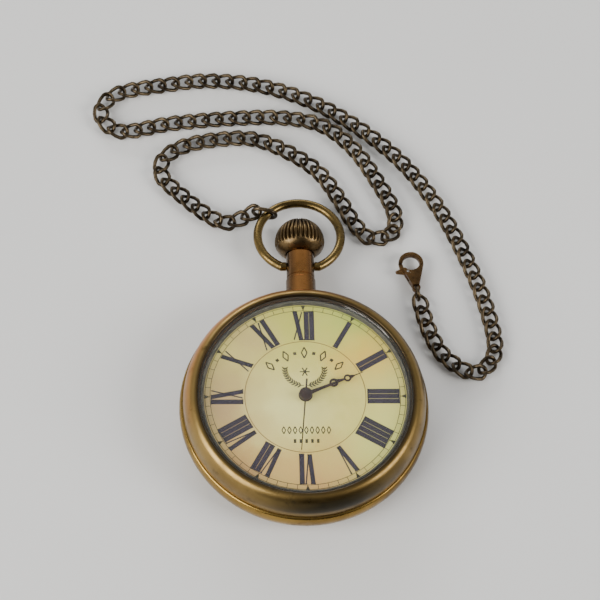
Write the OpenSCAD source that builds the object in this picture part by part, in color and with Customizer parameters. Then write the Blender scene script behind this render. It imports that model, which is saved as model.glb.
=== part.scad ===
// Pocket watch with a quartz movement, a bow and a curb chain that ends in a lobster clasp.
// The watch lies on its back: +Z is up out of the dial, +Y points to twelve o'clock and to the
// pendant, and the origin is the centre of the flat foot of the back cover.

/* [Case] */
// Diameter of the dial
dial_d = 45.4; // [37.8:0.2:54.6]
// Wall from the dial's bore to the widest line of the case
case_wall = 4.65; // [4.3:0.05:5.6]
// Wall of the neck that the bezel snaps on
neck_wall = 1.95; // [1.6:0.05:2.2]
// Height of the back cover
back_h = 3; // [2.5:0.1:3.6]
// Height of the case's middle between its two seams
band_h = 4.2; // [3.8:0.1:5]
// Height of the neck above the middle
neck_h = 3.7; // [3.2:0.1:4.4]
// Width of the flat foot of the back cover
foot_d = 34; // [28:0.5:38]

/* [Glass and dial] */
// Thickness of the dial
dial_t = 0.4; // [0.3:0.05:0.5]
// Height of the inner ring between dial and glass
ring_h = 1.15; // [0.95:0.05:1.4]
// Thickness of the glass
glass_t = 0.9; // [0.7:0.05:1.1]
// Rise of the glass's dome
dome_h = 1.3; // [1:0.1:1.6]

/* [Hands] */
// Reach of the minute hand
minute_l = 13.8; // [11:0.1:15.7]
// Reach of the hour hand
hour_l = 9.2; // [7.8:0.1:10.5]
// Reach of the second hand
second_l = 13.4; // [9.8:0.1:14.2]
// Width of the hub cap
hub_d = 2.8; // [2.4:0.1:3.3]

/* [Pendant and bow] */
// Diameter of the pendant tube
pendant_d = 6.3; // [5.2:0.1:6.8]
// Distance from the case's widest line to the bow's pivot
pivot_out = 7.4; // [6.5:0.1:8.8]
// Diameter of the bow's wire
bow_wire = 2; // [1.6:0.05:2.2]
// Diameter of the bow across its wire
bow_d = 20.95; // [18.5:0.05:24.5]
// Diameter of the crown at its widest
crown_d = 11.3; // [9.2:0.1:13]
// How far the crown pulls out
crown_pull = 1.2; // [1:0.1:1.4]

/* [Movement] */
// Diameter of the movement's main plate
movement_d = 26; // [25.6:0.2:31]
// Thickness of the main plate
plate_t = 1.1; // [0.9:0.05:1.3]
// Diameter of the button cell
battery_d = 6.8; // [5.8:0.1:7]
// Thickness of the button cell
battery_h = 2.6; // [2.1:0.1:2.7]

/* [Chain] */
// Diameter of the wire of a link
link_wire = 0.9; // [0.75:0.01:0.94]
// Outside length of a link
link_l = 5.6; // [5.5:0.01:5.8]
// Outside width of a link
link_w = 4; // [3.9:0.05:4.3]
// Thickness of the clasp
clasp_t = 2; // [1.7:0.1:2.4]

/* [Hidden] */

$fn = 48;

// Clearances
slip = 0.02;          // between pieces that are fixed to each other
seam = 0.1;           // open line between back cover, middle and bezel
snap_gap = 0.08;      // round the snap fits of bezel and back cover
pivot_gap = 0.05;     // round arbors and pivots

// Case radii
bore_r = dial_d / 2 + 0.15;
neck_r = bore_r + neck_wall;
case_r = bore_r + case_wall;
edge_round = 0.8;
seam_r = case_r - edge_round;
ledge_w = 1.25;
glass_seat = 0.65;
glass_r = bore_r + glass_seat - 0.3;

// Case heights
band_z = back_h + seam;
band_top = band_z + band_h;
bezel_z = band_top + seam;
dial_z = band_top + neck_h;
dial_under = dial_z - dial_t;
glass_z = dial_z + ring_h + 0.1;
crest_z = glass_z + glass_t + 0.4;
back_t = 0.8;
back_lip_h = 1.4;
back_lip_r = neck_r - 0.7;
recess_h = 1.65;
ledge_z = band_z + recess_h;
ledge_t = 0.6;

// Pendant, crown and bow
pendant_z = band_z + 2.3;
pendant_r = pendant_d / 2;
sleeve_t = 0.2;
sleeve_l = 4.4;
pendant_y = seam_r + 0.2;
pivot_y = case_r + pivot_out;
pendant_end = pivot_y + 3.7;
pendant_bore = pendant_r - 0.95;
spigot_r = 1.7;
stem_r = 0.5;
stem_hole = 0.62;
stem_y = 5.9;
pin_r = 0.65;
crown_r = crown_d / 2;
crown_y = pivot_y + 2.9;
crown_wide_y = crown_y + 3.2;
flutes = 34;

bow_r = (bow_d - bow_wire) / 2;
bow_end_x = pendant_r + bow_wire / 2 + 0.07;
bow_reach = sqrt(bow_r * bow_r - bow_end_x * bow_end_x);
bow_end_a = asin(bow_end_x / bow_r);
bow_drop = 8.5;

// Levels of the movement, counted down from the dial
hour_z = dial_under - 0.6;
motion_z = dial_under - 1.25;
wheel_t = 0.25;
plate_z = dial_under - 1.4 - plate_t;
centre_z = plate_z - 0.4;
third_z = plate_z - 0.9;
second_z = plate_z - 1.6;
fine_t = 0.15;
inter_z = plate_z - 2.1;
bridge_t = 0.6;
bridge_z = plate_z - 2.5 - bridge_t;
arbor_r = 0.22;
plate_r = movement_d / 2;
holder_r = bore_r - 0.1;

// Teeth of the train and their modules
rotor_leaves = 8;
inter_teeth = 48;
inter_leaves = 8;
second_teeth = 40;
second_leaves = 8;
third_teeth = 60;
third_leaves = 8;
centre_teeth = 64;
cannon_leaves = 12;
minute_teeth = 36;
minute_leaves = 10;
hour_teeth = 40;
inter_module = 0.17;
rotor_module = 0.1;
motion_module = 0.13;

// Places of the arbors: distance and bearing from the wheel before
third_d = 4.1;
third_a = -60;
inter_d = inter_module * (inter_leaves + second_teeth) / 2;
inter_a = 160;
rotor_d = rotor_module * (rotor_leaves + inter_teeth) / 2;
rotor_a = 180;
minute_d = motion_module * (cannon_leaves + minute_teeth) / 2;
minute_a = 250;
third_module = 2 * third_d / (second_leaves + third_teeth);
centre_module = 2 * third_d / (third_leaves + centre_teeth);
hour_module = 2 * minute_d / (minute_leaves + hour_teeth);
third_at = third_d * [cos(third_a), sin(third_a)];
inter_at = inter_d * [cos(inter_a), sin(inter_a)];
rotor_at = inter_at + rotor_d * [cos(rotor_a), sin(rotor_a)];
minute_at = minute_d * [cos(minute_a), sin(minute_a)];

// Other places on the movement
pillars = [[-4.5, -5], [4.2, 4.6], [6.9, -4.9]];
pillar_r = 0.9;
screw_r = 0.33;
battery_at = [8.2, 1.5];
coil_at = [-9.9, 1];
coil_l = 8;
coil_r = 1.2;
core_l = 12;
core_z = plate_z - 1.8;
core_t = 0.5;
core_w = 1.2;
magnet_r = 0.9;
dial_feet = [[9.4, -6.6], [-8, 7.4]];
foot_r = 0.35;
groove_y = 9.6;
lever_at = [2.4, groove_y + crown_pull / 2];
groove_w = 0.6;
groove_r = 0.3;
lever_z = pendant_z + 1.05;

// Levels of the hands and the tubes that carry them
hand_t = 0.2;
hour_hand_z = dial_z + 0.6;
minute_hand_z = dial_z + 1.1;
second_hand_z = dial_z + 1.6;
hour_tube_r = 0.95;
cannon_tube_r = 0.6;
cannon_bore = 0.3;
minute_bearing = 67.5;
hour_bearing = 64.8;
second_bearing = 185.3;

// Chain: hand-chosen points of the route that its links follow, from the bow to the clasp
lie_z = 1.57;
route = [
    [-10.9, 49.9, 2.9], [-14.2, 48.5, 2.2], [-17, 48.3, 1.65], [-21, 50.4, lie_z],
    [-27, 55.7, lie_z], [-31.2, 60.5, lie_z], [-30.8, 65, lie_z], [-26, 68.5, lie_z],
    [-18, 70.3, lie_z], [-10, 70.4, lie_z], [-2, 67, lie_z], [5, 61.7, lie_z],
    [9.5, 54.8, lie_z], [13, 48, lie_z], [16.6, 44.2, lie_z], [21.6, 45.6, lie_z],
    [22.2, 51.2, lie_z], [18.5, 59.5, lie_z], [13.5, 67.8, lie_z], [6.5, 74, lie_z],
    [-3, 76.2, lie_z], [-15, 76, lie_z], [-29, 74.6, lie_z], [-40.8, 72.5, lie_z],
    [-45.5, 77.2, lie_z], [-41.8, 82.6, lie_z], [-30, 85.2, lie_z], [-20, 86.3, lie_z],
    [-8, 85, lie_z], [4, 80.6, lie_z], [15, 73.4, lie_z], [25, 63.8, lie_z],
    [33, 51.4, lie_z], [39, 37.2, lie_z], [42.6, 25, lie_z], [43.5, 15, lie_z],
    [38.8, 10, lie_z], [32.3, 14, lie_z], [29, 20.5, lie_z], [27.3, 27.4, 1.7]
];
link_tilt = 40;
link_pitch = 3.2;
steps = 8;

// Where the bow's wire carries the end ring, and the ring's size
hang_a = 137;
hang_reach = bow_reach + bow_r * sin(hang_a);
hang = [
    bow_r * cos(hang_a),
    pivot_y + hang_reach * cos(bow_drop),
    pendant_z - hang_reach * sin(bow_drop)
];
end_ring_a = 168;
end_ring_l = 4.4 + 2 * link_wire;
end_ring_w = 2.6 + 2 * link_wire;
end_ring_out = 0.85;

// Clasp
clasp_ring_r = 1.45;
clasp_wire = 0.75;
clasp_at = [26.5, 31.2, 1.85];
clasp_turn = 9;
clasp_tail_r = 0.95;
clasp_hole_r = 0.5;
clasp_loop_y = 6.2;
clasp_loop_r = 2.85;
clasp_loop_in = 1.95;
clasp_pivot = [-1.15, 4.1];
clasp_pin_r = 0.3;

// ---- shapes that several pieces share ----

function arc(c, a, b, t0, t1, n) = [for (i = [0:n]) let (t = t0 + (t1 - t0) * i / n)
    [c[0] + a * cos(t), c[1] + b * sin(t)]];

module gear_2d(teeth, m) {
    r = teeth * m / 2;
    root = r - 1.15 * m;
    tip = r + 0.8 * m;
    p = 360 / teeth;
    polygon([for (i = [0:teeth - 1]) for (c = [[root, -0.3], [tip, -0.11], [tip, 0.11], [root, 0.3]])
        c[0] * [cos((i + c[1]) * p), sin((i + c[1]) * p)]]);
}

// A toothing of a wheel, phased so that a tooth points along the bearing a
module toothing(teeth, m, z, t, a) {
    translate([0, 0, z]) rotate(a) linear_extrude(t) gear_2d(teeth, m);
}

// The same, phased so that a gap lies along the bearing a
module toothing_gap(teeth, m, z, t, a) {
    toothing(teeth, m, z, t, a + 180 / teeth);
}

// Each child outline as a plate of its own
module plates(z, t) {
    for (i = [0:$children - 1]) translate([0, 0, z]) linear_extrude(t) children(i);
}

module rod(r, z0, z1) {
    translate([0, 0, z0]) cylinder(r = r, h = z1 - z0);
}

// A rod along +Y at the pendant's height
module cross_rod(r, y0, y1) {
    translate([0, y0, pendant_z]) rotate([-90, 0, 0]) cylinder(r = r, h = y1 - y0);
}

module ring(r0, r1, z0, z1) {
    difference() {
        rod(r1, z0, z1);
        rod(r0, z0 - 1, z1 + 1);
    }
}

// A closed wire loop with straight sides, lying flat round the origin
module wire_loop(l, w, wire) {
    bend = (w - wire) / 2;
    half = (l - w) / 2;
    for (s = [0, 180]) rotate(s) {
        translate([half, 0, 0]) rotate(-90) rotate_extrude(angle = 180)
            translate([bend, 0]) circle(d = wire);
        translate([-half, bend, 0]) rotate([0, 90, 0]) cylinder(d = wire, h = 2 * half);
    }
}

// ---- case ----

module band_outline(grow) {
    mid = band_z + band_h / 2;
    polygon(concat(
        [[0, band_z - grow], [seam_r, band_z - grow]],
        arc([seam_r, mid], edge_round + grow, band_h / 2 + grow, -90, 90, 14),
        [[seam_r, band_top + grow], [0, band_top + grow]]
    ));
}

module case_body() {
    color("#8f6c36") difference() {
        union() {
            rotate_extrude() band_outline(0);
            rod(neck_r, band_top - 1, dial_z);
        }
        rod(bore_r, ledge_z + ledge_t, dial_z + 1);
        rod(bore_r - ledge_w, band_z - 1, ledge_z + ledge_t + 1);
        rod(back_lip_r + snap_gap, band_z - 1, ledge_z);
        cross_rod(stem_hole, 10, case_r + 1);
        cross_rod(spigot_r + slip, neck_r + 0.1, case_r + 1);
    }
}

module back_cover() {
    wall = seam_r - 0.1;
    flat = foot_d / 2;
    lip_in = back_lip_r - 1.1;
    color("#86652f") rotate_extrude() polygon(concat(
        [[0, 0]],
        arc([flat, back_h], wall - flat, back_h, -90, 0, 14),
        [[back_lip_r, back_h], [back_lip_r, back_h + back_lip_h],
         [lip_in, back_h + back_lip_h]],
        arc([flat, back_h], lip_in - flat, back_h - back_t, 0, -90, 10),
        [[0, back_t]]
    ));
}

module back_gasket() {
    color("#20201f") ring(back_lip_r - 0.9, back_lip_r - 0.1, back_h + back_lip_h + slip,
        ledge_z - slip);
}

module bezel() {
    foot_z = bezel_z + 1;
    top_r = bore_r + glass_seat + 0.4;
    color("#a67c3e") rotate_extrude() polygon(concat(
        [[neck_r + snap_gap, bezel_z], [seam_r, bezel_z]],
        arc([top_r, foot_z], seam_r - 0.05 - top_r, crest_z - foot_z, 0, 90, 18),
        [[bore_r + glass_seat + 0.1, crest_z - 0.1], [bore_r + glass_seat, crest_z - 0.35],
         [bore_r + glass_seat, glass_z], [bore_r + 0.05, glass_z],
         [bore_r + 0.05, dial_z + 0.2], [neck_r + snap_gap, dial_z + 0.2]]
    ));
}

module crystal() {
    rise = 0.85 * dome_h;
    n = 12;
    color([0.85, 0.9, 0.9, 0.35]) rotate_extrude() polygon(concat(
        [for (i = [0:n]) let (t = i / n) [glass_r * t, glass_z + slip + rise * (1 - t * t)]],
        [for (i = [n:-1:0]) let (t = i / n)
            [glass_r * t, glass_z + glass_t - 0.1 + dome_h * (1 - t * t)]]
    ));
}

module crystal_gasket() {
    color("#c9c4b4") ring(glass_r + slip, bore_r + glass_seat - slip, glass_z + slip,
        glass_z + glass_t - 0.1);
}

module inner_ring() {
    out = bore_r - 0.1;
    color("#6f6f68") rotate_extrude() polygon([
        [out - 0.65, dial_z + slip], [out, dial_z + slip], [out, dial_z + ring_h],
        [out - 0.25, dial_z + ring_h]
    ]);
}

// ---- dial and hands ----

module dial() {
    color("#d9d29a") {
        difference() {
            rod(dial_d / 2, dial_under, dial_z);
            rod(hour_tube_r + 0.3, dial_under - 1, dial_z + 1);
        }
        for (p = dial_feet) translate(p) rod(foot_r, plate_z + 0.2, dial_under + 0.1);
    }
}

module dial_washer() {
    color("#b58e45") ring(hour_tube_r + 0.2, 2.2, hour_z + wheel_t + 0.05, dial_under - slip);
}

// Eyelet hand along +Y: hub, shaft, round eye and slender tip
module eyelet_hand(l, eye_y, eye_r, hub_r, hole_r, z) {
    difference() {
        plates(z, hand_t) {
            circle(hub_r);
            polygon([[-0.45, 0], [-0.22, eye_y - eye_r + 0.1], [0.22, eye_y - eye_r + 0.1],
                [0.45, 0]]);
            translate([0, eye_y]) circle(eye_r);
            polygon([[-0.5, eye_y + eye_r * 0.8], [-0.12, eye_y + eye_r + 0.9], [-0.04, l],
                [0.04, l], [0.12, eye_y + eye_r + 0.9], [0.5, eye_y + eye_r * 0.8]]);
        }
        rod(hole_r, z - 1, z + 1);
        translate([0, eye_y]) rod(eye_r * 0.5, z - 1, z + 1);
    }
}

module hour_hand() {
    color("#3a2622") rotate(-hour_bearing)
        eyelet_hand(hour_l, 6.9, 1, hub_d * 0.55, hour_tube_r + slip, hour_hand_z);
}

module minute_hand() {
    color("#3a2622") rotate(-minute_bearing)
        eyelet_hand(minute_l, 10, 0.85, hub_d * 0.48, cannon_tube_r + slip, minute_hand_z);
}

module second_hand() {
    color("#4a2a26") rotate(-second_bearing) difference() {
        union() {
            translate([0, 0, second_hand_z]) linear_extrude(0.15)
                polygon([[-0.2, -3.5], [-0.09, second_l], [0.09, second_l], [0.2, -3.5]]);
            rod(hub_d / 2, second_hand_z, second_hand_z + 0.25);
            rod(0.5, second_hand_z, second_hand_z + 0.4);
        }
        rod(arbor_r + slip, second_hand_z - 1, second_hand_z + 0.2);
    }
}

// ---- pendant, crown and bow ----

module pendant() {
    color("#8c6437") difference() {
        union() {
            cross_rod(pendant_r, pendant_y, pendant_end);
            cross_rod(spigot_r, neck_r + 0.1 + slip, pendant_y + 1);
        }
        difference() {
            rotate_extrude() band_outline(slip);
            cross_rod(spigot_r, 0, case_r + 2);
        }
        cross_rod(stem_hole, 0, pendant_end + 1);
        cross_rod(pendant_bore, case_r + 2.5, pendant_end + 1);
        translate([-10, pivot_y, pendant_z]) rotate([0, 90, 0]) cylinder(r = pin_r + 0.07, h = 20);
    }
}

module pendant_sleeve() {
    color("#966b3c") difference() {
        cross_rod(pendant_r + sleeve_t, pendant_y, pendant_y + sleeve_l);
        cross_rod(pendant_r + slip, 0, case_r + 20);
        rotate_extrude() band_outline(slip);
    }
}

module bow() {
    color("#6c5c2e") translate([0, pivot_y, pendant_z]) rotate([-bow_drop, 0, 0]) {
        translate([0, bow_reach, 0]) rotate(bow_end_a - 90)
            rotate_extrude(angle = 360 - 2 * bow_end_a) translate([bow_r, 0]) circle(d = bow_wire);
        for (s = [-1, 1]) translate([s * bow_end_x, 0, 0]) {
            sphere(d = bow_wire + 0.04);
            rotate([0, -s * 90, 0]) cylinder(r = pin_r, h = bow_end_x - pendant_bore - 0.05);
        }
    }
}

module crown() {
    lower = crown_wide_y - crown_y;
    skirt = lower / sqrt(1 - pow(0.6, 2));
    color("#4f4128") translate([0, 0, pendant_z]) rotate([-90, 0, 0]) difference() {
        rotate_extrude() polygon(concat(
            [[0, crown_y]],
            arc([0, crown_wide_y], crown_r, skirt, -asin(lower / skirt), 0, 10),
            arc([0, crown_wide_y], crown_r, crown_r, 5, 90, 16)
        ));
        difference() {
            rod(pendant_r + 0.15, crown_y - 1, crown_y + 1.4);
            rod(pendant_bore - 0.3, crown_y - 2, crown_y + 2);
        }
        rod(stem_r + slip, crown_y - 1, crown_y + 5);
        for (i = [0:flutes - 1]) rotate(i * 360 / flutes)
            translate([crown_r + 0.05, 0, crown_wide_y + 0.5]) cylinder(r = 0.28, h = crown_r);
    }
}

module stem() {
    color("#9a9a95") difference() {
        cross_rod(stem_r, stem_y, crown_y + 4.9);
        difference() {
            cross_rod(stem_r + 1, groove_y - groove_w / 2, groove_y + groove_w / 2);
            cross_rod(groove_r, 0, 20);
        }
    }
}

module crown_gasket() {
    y = crown_y - 1.6;
    color("#1d1d1c") difference() {
        cross_rod(pendant_bore - slip, y, y + 0.8);
        cross_rod(stem_r + slip, y - 1, y + 2);
    }
}

module sliding_pinion() {
    y = stem_y + 0.7;
    color("#8b8b86") difference() {
        union() {
            cross_rod(0.7, y, y + 1.6);
            cross_rod(0.95, y, y + 0.5);
            cross_rod(0.95, y + 1.1, y + 1.6);
        }
        cross_rod(stem_r + 0.03, 0, 20);
        for (i = [0:9]) translate([0, y + 1.6, pendant_z]) rotate([0, i * 36, 0])
            translate([0.8, 0, 0]) cube([0.5, 0.4, 0.22], center = true);
    }
}

module setting_lever() {
    pin_at = [0, groove_y] - lever_at;
    color("#84847e") translate([lever_at[0], lever_at[1], 0]) {
        translate([0, 0, lever_z]) linear_extrude(0.3) {
            circle(0.75);
            translate(pin_at) circle(0.4);
            polygon([[0, 0.6], [0.2, -0.6], [pin_at[0], pin_at[1] - 0.35],
                [pin_at[0], pin_at[1] + 0.35]]);
            polygon([[0, 0.7], [1.7, 0.5], [1.7, 0.1], [0, -0.6]]);
        }
        translate(pin_at) rod(0.15, pendant_z + groove_r + pivot_gap, lever_z + 0.1);
        rod(0.3, lever_z + 0.1, plate_z + 0.7);
    }
}

module lever_spring() {
    color("#b0b0aa") {
        translate([4.9, 8.6]) rod(0.35, lever_z, plate_z + 0.6);
        translate([0, 0, lever_z]) linear_extrude(0.2)
            polygon([[4.6, 8.6], [5.2, 8.6], [4.75, 10.2], [4.4, 11.4], [4.15, 11.4], [4.5, 10.1]]);
    }
}

// ---- movement ----

module movement_holder() {
    z0 = ledge_z + ledge_t + slip;
    color("#d8d6cd") difference() {
        rod(holder_r, z0, dial_under - slip);
        rod(plate_r + 0.1, plate_z - slip, dial_z);
        rod(plate_r - 0.7, z0 - 1, plate_z);
        rod(plate_r + 0.1, z0 - 1, plate_z - 0.5);
        translate([-1.3, 0, z0 - 1]) cube([2.6, holder_r + 1, pendant_z + 2.35 - z0]);
        for (a = [45:90:315]) rotate(a) translate([(plate_r + holder_r) / 2, 0, z0 - 1])
            cylinder(r = (holder_r - plate_r) / 2 - 1.2, h = 3.5);
    }
}

module main_plate() {
    color("#b9a05c") {
        difference() {
            union() {
                rod(plate_r, plate_z, plate_z + plate_t);
                for (p = pillars) translate(p) rod(pillar_r, plate_z - 2.5 + slip, plate_z + 0.1);
            }
            rod(0.75 + pivot_gap, plate_z - 1, plate_z + 3);
            for (p = [third_at, inter_at, rotor_at])
                translate(p) rod(arbor_r + pivot_gap, plate_z - 1, plate_z + 3);
            for (p = dial_feet) translate(p) rod(foot_r + pivot_gap, plate_z - 1, plate_z + 3);
            for (p = pillars) translate(p) rod(screw_r + slip, plate_z - 4, plate_z - 0.4);
            translate(lever_at) rod(0.35, plate_z - 1, plate_z + 0.8);
            translate([4.9, 8.6]) rod(0.37, plate_z - 1, plate_z + 0.8);
        }
        translate(minute_at) rod(0.25, plate_z + plate_t - 0.1, hour_z + wheel_t - 0.05);
    }
}

module train_bridge() {
    color("#c2a968") difference() {
        union() {
            plates(bridge_z, bridge_t) polygon([[-8, 0], [-8, 2.8], [-3, 3.2], [3.2, 5.6], [5.2, 5],
                [4, 1], [7.9, -4.5], [6.6, -5.9], [1, -5.2], [-4.5, -6], [-5.6, -4.8]]);
            for (p = pillars) translate(p) rod(1.1, bridge_z, bridge_z + bridge_t);
        }
        for (p = [[0, 0], third_at, inter_at, rotor_at])
            translate(p) rod(arbor_r + pivot_gap, bridge_z - 1, bridge_z + 1);
        for (p = pillars) translate(p) rod(screw_r + 0.05, bridge_z - 1, bridge_z + 1);
    }
}

module bridge_screws() {
    color("#8e8f92") for (p = pillars) translate(p) difference() {
        union() {
            rod(0.7, bridge_z - 0.32, bridge_z - slip);
            rod(screw_r, bridge_z - 0.1, plate_z - 0.5);
        }
        translate([-1, -0.1, bridge_z - 0.5]) cube([2, 0.2, 0.3]);
    }
}

module coil() {
    color("#b0552c") translate([coil_at[0], coil_at[1], core_z + core_t / 2]) difference() {
        rotate([90, 0, 0]) cylinder(r = coil_r, h = coil_l, center = true);
        cube([core_w + 2 * slip, coil_l + 1, core_t + 2 * slip], center = true);
    }
}

module coil_core() {
    color("#9b9b9b") translate([coil_at[0], coil_at[1], core_z + core_t / 2])
        cube([core_w, core_l, core_t], center = true);
}

module stator() {
    z = core_z + core_t + slip;
    x = coil_at[0];
    color("#a5a5a3") difference() {
        union() {
            translate(rotor_at) rod(2, z, z + 0.48);
            for (s = [0, 1]) translate([0, coil_at[1], 0]) mirror([0, s, 0])
                plates(z, 0.48) polygon([[x + 1.7, 1], [rotor_at[0] + 1.3, 1.3],
                    [x + 1.6, core_l / 2], [x - 0.6, core_l / 2], [x - 0.6, coil_l / 2 + 0.2],
                    [x + 1.4, coil_l / 2 + 0.2]]);
        }
        translate(rotor_at) rod(magnet_r + 0.25, z - 1, z + 1);
    }
}

module rotor() {
    color("#5c5c60") translate(rotor_at) {
        rod(arbor_r, bridge_z + 0.1, plate_z + plate_t - 0.1);
        rod(magnet_r, core_z + core_t - 0.1, core_z + core_t + 0.7);
        toothing(rotor_leaves, rotor_module, inter_z - 0.15, 0.45, rotor_a + 180);
    }
}

module intermediate_wheel() {
    color("#d8d0b8") translate(inter_at) {
        rod(arbor_r, bridge_z + 0.1, plate_z + plate_t - 0.1);
        toothing_gap(inter_teeth, rotor_module, inter_z, fine_t, rotor_a);
        toothing(inter_leaves, inter_module, second_z - 0.15, 0.45, inter_a + 180);
    }
}

module second_wheel() {
    color("#c9a64e") {
        rod(arbor_r, bridge_z + 0.1, second_hand_z + 0.15);
        toothing_gap(second_teeth, inter_module, second_z, fine_t, inter_a);
        toothing(second_leaves, third_module, second_z + 0.1, 0.8, third_a);
    }
}

module third_wheel() {
    color("#cda955") translate(third_at) {
        rod(arbor_r, bridge_z + 0.1, plate_z + plate_t - 0.1);
        toothing_gap(third_teeth, third_module, third_z, fine_t, third_a + 180);
        toothing(third_leaves, centre_module, third_z + 0.1, 0.7, third_a + 180);
    }
}

module centre_wheel() {
    color("#c6a24a") difference() {
        union() {
            toothing_gap(centre_teeth, centre_module, centre_z, 0.2, third_a);
            rod(0.75, centre_z - 0.15, plate_z + plate_t + 0.1);
            toothing(cannon_leaves, motion_module, motion_z, wheel_t, minute_a);
            rod(cannon_tube_r, plate_z, minute_hand_z + hand_t);
        }
        rod(cannon_bore, 0, second_hand_z);
    }
}

module minute_wheel() {
    color("#d1ad59") translate(minute_at) difference() {
        union() {
            toothing_gap(minute_teeth, motion_module, motion_z, wheel_t, minute_a + 180);
            toothing(minute_leaves, hour_module, motion_z + 0.1, hour_z + wheel_t - motion_z - 0.1,
                minute_a + 180);
        }
        rod(0.25 + pivot_gap, 0, dial_z);
    }
}

module hour_wheel() {
    color("#d6b466") difference() {
        union() {
            toothing_gap(hour_teeth, hour_module, hour_z, wheel_t, minute_a);
            rod(hour_tube_r, hour_z - 0.2, hour_hand_z + hand_t);
        }
        rod(cannon_tube_r + 0.08, 0, dial_z + 5);
    }
}

module circuit_board() {
    color("#2f6b4a") rotate(215) rotate_extrude(angle = 98)
        translate([8.3, plate_z - 0.4]) square([3.8, 0.38]);
}

module quartz_resonator() {
    color("#c4c6c8") translate([-3, -10, plate_z - 0.4 - slip - 0.7]) rotate([0, 90, 0])
        cylinder(r = 0.7, h = 4.5);
}

module control_chip() {
    color("#17181a") translate([3, -10.5, plate_z - 1 - slip]) cube([2, 2, 0.6]);
}

module battery() {
    top = plate_z - 0.05;
    color("#c9cbcc") translate(battery_at) {
        rod(battery_d / 2, top - battery_h + 0.6, top);
        rod(battery_d / 2 - 0.5, top - battery_h, top - 0.5);
    }
}

module battery_clamp() {
    under = plate_z - 0.05 - battery_h - slip;
    post = battery_d / 2 + 0.75;
    color("#a3a5a4") translate(battery_at) {
        translate([-0.9, -post, under - 0.25]) cube([1.8, 2 * post, 0.25]);
        for (s = [-1, 1]) translate([0, s * post, 0]) rod(0.6, under - 0.25, plate_z - slip);
    }
}

// ---- chain and clasp ----

module end_ring() {
    out = end_ring_out;
    color("#7a705c") translate(hang) rotate(end_ring_a) translate([out, 0, 0]) rotate([90, 0, 0])
        wire_loop(end_ring_l, end_ring_w, link_wire);
}

last = len(route) - 1;

function stop(i) = route[max(0, min(last, i))];

// A point of the smooth curve through four neighbouring stops
function blend(i, t) = let (a = stop(i - 1), b = stop(i), c = stop(i + 1), d = stop(i + 2))
    0.5 * (2 * b + (c - a) * t + (2 * a - 5 * b + 4 * c - d) * t * t
    + (3 * b - a - 3 * c + d) * t * t * t);

curve = [for (i = [0:last - 1]) for (k = [0:steps - 1]) blend(i, k / steps), stop(last)];

function run_to(i) = [for (k = 0, s = 0; k <= i; s = s + (k < i ? norm(curve[k + 1] - curve[k]) : 0),
    k = k + 1) s];

reach = run_to(len(curve) - 1);
route_l = reach[len(reach) - 1];
links = round(route_l / link_pitch) + 1;
pitch = route_l / (links - 1);
tables = [for (axis = [0:2]) [for (k = [0:len(curve) - 1]) [reach[k], curve[k][axis]]]];

function at(s) = [for (axis = [0:2]) lookup(s, tables[axis])];

module link(i) {
    here = at(i * pitch);
    way = at(min(route_l, (i + 0.5) * pitch)) - at(max(0, (i - 0.5) * pitch));
    translate(here) rotate([0, -asin(way[2] / norm(way)), atan2(way[1], way[0])])
        rotate([(i % 2 == 0 ? 1 : -1) * link_tilt, 0, 0]) wire_loop(link_l, link_w, link_wire);
}

module chain_run(k) {
    color("#6a6152") for (i = [floor(links * (k - 1) / 8):floor(links * k / 8) - 1]) link(i);
}

module place_clasp() {
    translate(clasp_at) rotate(clasp_turn) children();
}

module clasp_ring() {
    color("#6a6152") place_clasp() translate([0, -clasp_ring_r, 0]) rotate([0, 90, 0])
        rotate_extrude() translate([clasp_ring_r, 0]) circle(d = clasp_wire);
}

module clasp_body_2d(inset) {
    polygon([[-2.35 + inset, 5.1 - inset], [2.65 - inset, 5.1 - inset], [0.8 - inset, 0.5 + inset],
        [-0.8 + inset, 0.5 + inset]]);
}

module clasp_frame() {
    slot_w = 0.45 * clasp_t;
    color("#7d5e33") place_clasp() difference() {
        union() {
            translate([0, 0, -clasp_t * 0.3]) linear_extrude(clasp_t * 0.6) difference() {
                translate([0, clasp_loop_y]) circle(clasp_loop_r);
                translate([0, clasp_loop_y]) circle(clasp_loop_in);
                polygon([[-4, clasp_loop_y + 0.6], [0, clasp_loop_y], [-1, 2], [-4, 2]]);
            }
            translate([0, 0, -clasp_t / 2]) linear_extrude(clasp_t) clasp_body_2d(0);
            translate([0, 0, -0.5]) cylinder(r = clasp_tail_r, h = 1);
        }
        translate([0, 0, -clasp_t]) cylinder(r = clasp_hole_r, h = 2 * clasp_t);
        translate([0, 0, -slot_w / 2]) linear_extrude(slot_w)
            polygon([[-4, 7], [0.9, 7], [0.9, 5], [0.2, 2], [-4, 2]]);
        translate([0, clasp_loop_y, -clasp_t]) cylinder(r = clasp_loop_in, h = 2 * clasp_t);
        translate([clasp_pivot[0], clasp_pivot[1], -clasp_t])
            cylinder(r = clasp_pin_r + slip, h = 2 * clasp_t);
    }
}

module clasp_lever() {
    lever_t = 0.45 * clasp_t - 0.14;
    color("#93703c") place_clasp() difference() {
        plates(-lever_t / 2, lever_t) {
            intersection() {
                translate([0, clasp_loop_y]) difference() {
                    circle(clasp_loop_r);
                    circle(clasp_loop_in);
                }
                polygon([[-4, clasp_loop_y + 0.4], [0, clasp_loop_y - 0.25], [-0.8, 3.8],
                    [-4, 3.8]]);
            }
            translate(clasp_pivot) circle(0.75);
            polygon([[-3.9, 4.8], [-3.8, 4.3], [-1.3, 3.6], [-1.1, 4.8], [-2.4, 5.3]]);
            polygon([[-1.7, 3.9], [-0.6, 3.9], [-0.35, 2.4], [-0.8, 2.4]]);
        }
        translate(clasp_pivot) rod(clasp_pin_r + pivot_gap, -clasp_t, clasp_t);
    }
}

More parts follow.
